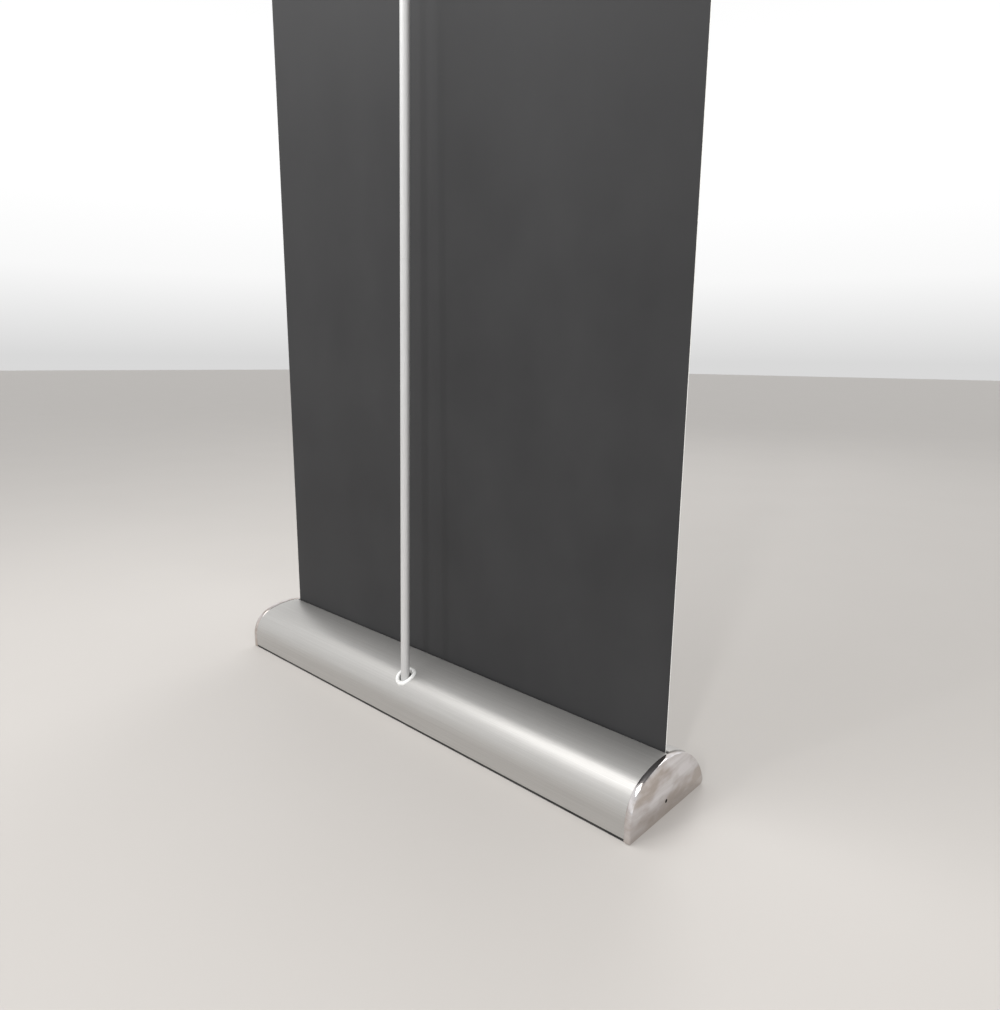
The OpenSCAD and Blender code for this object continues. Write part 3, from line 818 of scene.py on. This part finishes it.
def bend_to_shoulder(piece, radius, lean):
    """Settles a flat ring on the round shoulder, each point keeping its height above it."""
    for vertex in piece.data.vertices:
        away = Vector((vertex.co.y - SHOULDER_Y, vertex.co.z - SHOULDER_Z))
        angle = math.atan2(away.y, away.x)
        rise = away.length - radius / math.cos(angle - lean)
        vertex.co.y = SHOULDER_Y + (radius + rise) * math.cos(angle)
        vertex.co.z = SHOULDER_Z + (radius + rise) * math.sin(angle)


# ---- Pole ----

def along_pole(distance):
    return FOOT + POLE_AXIS * distance


def pole_length(node):
    """Where a tube starts and ends along the pole's axis."""
    low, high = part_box(node)
    slack = POLE_R * math.sin(POLE_TILT)
    cosine = math.cos(POLE_TILT)
    return (low.z + slack - FOOT.z) / cosine, (high.z - slack - FOOT.z) / cosine


TUBE_WALL = 1 * MM


def pole_tube(node, name, body):
    """One tube of the pole, hollow, with its ends turned true and broken at the edges."""
    start, end = pole_length(node)
    piece = open_tube(name, along_pole(start), POLE_AXIS, end - start, POLE_R, TUBE_WALL)
    soften(piece, 0.28 * MM)
    apply_all(piece)
    smooth(piece)
    finish_piece(piece, FINISHES["pole_aluminium"], body, "pole_aluminium", node)


# ---- Hook and rail ----

def softened_copy(node, name, width):
    """A copy of a frame node with its triangles joined and its edges rounded."""
    let_go()
    piece = frame["nodes"][node].copy()
    piece.data = piece.data.copy()
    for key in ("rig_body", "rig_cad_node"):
        if key in piece:
            del piece[key]
    piece.parent = None
    bpy.context.scene.collection.objects.link(piece)
    piece.name = name
    piece.data.name = name
    take(piece)
    bpy.ops.object.mode_set(mode="EDIT")
    bpy.ops.mesh.select_all(action="SELECT")
    bpy.ops.mesh.remove_doubles(threshold=0.002 * MM)
    bpy.ops.mesh.dissolve_limited(angle_limit=math.radians(1))
    bpy.ops.object.mode_set(mode="OBJECT")
    soften(piece, width, angle=35)
    apply_all(piece)
    smooth(piece)
    finish_piece(piece, FINISHES[slot_of(node)], body_of(node), slot_of(node), node)


# ---- Banner ----

WHITE_LAYER = banner_front()

# How far the white layer shows past the dark one at each edge, and how the hidden strips lie
WHITE_EDGE = 0.6 * MM
STRIP_LAYER = 0.04 * MM
STRIP_START = 0.05 * MM
STRIP_STEP = 0.1 * MM
STRIP_SHORT = 3 * MM

# How far the edges and the middle of the taut sheet stand forward
CURL = 0.2 * MM
RIPPLE = 0.05 * MM


def banner_layer(name, low_y, high_y, extra, finish):
    """One layer of the sheet, from its hidden lower end to the top rail."""
    width = BANNER_HIGH.x - BANNER_LOW.x + 2 * extra
    height = BANNER_HIGH.z - BANNER_LOW.z
    let_go()
    bpy.ops.mesh.primitive_grid_add(x_subdivisions=60, y_subdivisions=150, size=1)
    piece = named(name)
    piece.matrix_world = (Matrix.Translation((0, (low_y + high_y) / 2, BANNER_LOW.z + height / 2))
                          @ Matrix.Rotation(math.pi / 2, 4, "X") @ Matrix.Diagonal((width, height, 1, 1)))
    bpy.ops.object.transform_apply(location=True, rotation=True, scale=True)
    for vertex in piece.data.vertices:
        vertex.co.y += banner_wave(vertex.co.x / (width / 2), vertex.co.z)
    thicken(piece, high_y - low_y, 0)
    apply_all(piece)
    smooth(piece, 40)
    return finish_piece(piece, finish, "rail", "banner_sheet", "banner")


def banner():
    """The charcoal block-out layer, and the white layer in front of it that shows at the edges."""
    middle = (BANNER_LOW.y + BANNER_HIGH.y) / 2
    return (banner_layer("banner_back_layer", middle, BANNER_HIGH.y, 0, FINISHES["banner_sheet"]),
            banner_layer("banner_front_layer", BANNER_LOW.y, middle, WHITE_EDGE, WHITE_LAYER))


def hidden_strip(body, step):
    """A strip of the sheet inside the base, which fills the slot while the pole is pulled up."""
    low_y = BANNER_HIGH.y + STRIP_START + step * STRIP_STEP
    for side, finish in (("front", WHITE_LAYER), ("back", FINISHES["banner_sheet"])):
        low = (BANNER_LOW.x + MM, low_y, BANNER_LOW.z)
        high = (BANNER_HIGH.x - MM, low_y + STRIP_LAYER, SHELL_HIGH.z - STRIP_SHORT)
        piece = block(f"banner_strip_{side}_{body}", low, high)
        smooth(piece)
        finish_piece(piece, finish, body, "banner_sheet")
        low_y += STRIP_LAYER


def banner_wave(across, z):
    """How far the taut sheet stands forward of its plane: nothing at the slot and the rail."""
    share = min(1, max(0, (z - SHELL_HIGH.z) / (RAIL_LOW.z - SHELL_HIGH.z)))
    free = math.sin(math.pi * share) ** 0.8 if 0 < share < 1 else 0
    curl = CURL * abs(across) ** 6
    ripple = RIPPLE * (1 + math.sin(2.3 * across + 5.1 * share)) * (1 - across * across)
    return -free * (curl + ripple)


# ---- The room: floor, lights and camera ----

def room():
    let_go()
    bpy.ops.mesh.primitive_plane_add(size=60, location=(0, 0, 0))
    floor = named("floor")
    pale, shade = (0.52, 0.495, 0.47), (0.50, 0.475, 0.45)
    finish = Finish("floor_paint", pale, 0.6)
    finish.colour(finish.mix(finish.noise((3, 3, 3), 1, 3), pale, shade))
    floor.data.materials.append(finish.material)
    studio()


# Each step of the studio's brightness: how far up the sky, from 0 at the horizon to 1 overhead
SKY = ((0.0, 0.66), (0.10, 0.90), (0.24, 1.0), (0.52, 0.90), (0.95, 0.62))
SKY_STRENGTH = 1.05


def studio():
    """A white studio: dimmer at the horizon, brightest a little above it and darker overhead."""
    scene = bpy.context.scene
    scene.world = bpy.data.worlds.new("studio")
    scene.world.use_nodes = True
    tree = scene.world.node_tree
    add, join = tree.nodes.new, tree.links.new
    height = add("ShaderNodeSeparateXYZ")
    join(add("ShaderNodeTexCoord").outputs["Generated"], height.inputs["Vector"])
    ramp = add("ShaderNodeValToRGB")
    join(height.outputs["Z"], ramp.inputs["Fac"])
    steps = ramp.color_ramp.elements
    while len(steps) < len(SKY):
        steps.new(0.5)
    for step, (place, grey) in zip(steps, SKY):
        step.position = place
        step.color = (grey, grey, grey, 1)
    join(ramp.outputs["Color"], tree.nodes["Background"].inputs["Color"])
    tree.nodes["Background"].inputs["Strength"].default_value = SKY_STRENGTH
    scene.view_settings.view_transform = "Standard"


def lamp(name, at, aim, size, power, shines=True):
    """A soft rectangular lamp that faces a point. One that doesn't shine leaves no glint on metal."""
    data = bpy.data.lights.new(name, "AREA")
    data.shape = "RECTANGLE"
    data.size, data.size_y = size
    data.energy = power
    light = bpy.data.objects.new(name, data)
    bpy.context.scene.collection.objects.link(light)
    light.location = at
    light.rotation_euler = (Vector(aim) - Vector(at)).to_track_quat("-Z", "Y").to_euler()
    light.visible_glossy = shines


def lamps():
    lamp("behind_left", (-1.45, 3.1, 1.9), (0, 0, 0.5), (0.22, 0.6), 34, shines=False)
    lamp("behind_right", (0.62, 3.3, 1.9), (0, 0, 0.5), (0.22, 0.6), 15, shines=False)
    lamp("beside_the_end", (-3.0, 1.0, 1.7), (0, 0, 0.6), (1.5, 2.0), 16, shines=False)
    lamp("over_the_back", (0.42, 0.75, 2.0), (-0.3, 0.06, 0.05), (1.3, 1.1), 20)
    lamp("front", (1.2, -3.0, 3.4), (0, 0, 0.9), (1.6, 1.6), 30)


CAMERA_AT = Vector((-0.8371, 0.7613 + SLOT_Y, 0.5646))
HEADING = math.radians(42.76)
DIP = math.radians(11.43)
ROLL = math.radians(0.57)
LENS = 25.66


def camera():
    """Stands behind the left end of the base, low, and looks down a little along the back."""
    ahead = Vector((math.sin(HEADING) * math.cos(DIP), -math.cos(HEADING) * math.cos(DIP), -math.sin(DIP)))
    level = Vector((-math.cos(HEADING), -math.sin(HEADING), 0))
    upright = level.cross(ahead)
    right = level * math.cos(ROLL) + upright * math.sin(ROLL)
    up = upright * math.cos(ROLL) - level * math.sin(ROLL)
    data = bpy.data.cameras.new("camera")
    data.lens = LENS
    data.sensor_width = 36
    data.clip_start = 0.05
    view = bpy.data.objects.new("camera", data)
    bpy.context.scene.collection.objects.link(view)
    turn = Matrix((right, up, -ahead)).transposed().to_4x4()
    view.matrix_world = Matrix.Translation(CAMERA_AT) @ turn
    bpy.context.scene.camera = view


# ---- Put it together ----

camera()
room()
lamps()

housing_rear()
housing_front()
end_caps()
foot_strip("foot_strip_front")
foot_strip("foot_strip_rear")
grommet()
pole_tube("pole_tube_lower", "pole_lower", "lower_pole")
pole_tube("pole_tube_middle", "pole_middle", "middle_pole")
pole_tube("pole_tube_upper", "pole_upper", "upper_pole")
softened_copy("pole_hook", "hook_moulding", 0.6 * MM)
layers = banner()

for node, name, width in (
    ("rail_back", "rail_rear_section", 0.25 * MM),
    ("rail_front", "rail_front_section", 0.2 * MM),
    ("rail_cap_left", "rail_end_left", 0.5 * MM),
    ("rail_cap_right", "rail_end_right", 0.5 * MM),
):
    softened_copy(node, name, width)

for node, piece in frame["nodes"].items():
    if not piece.hide_render:
        piece.data.materials.clear()
        piece.data.materials.append(FINISHES[slot_of(node)])

for sheet in layers:
    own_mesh(sheet)

for step, body in enumerate(("upper_pole", "middle_pole", "lower_pole")):
    hidden_strip(body, step)
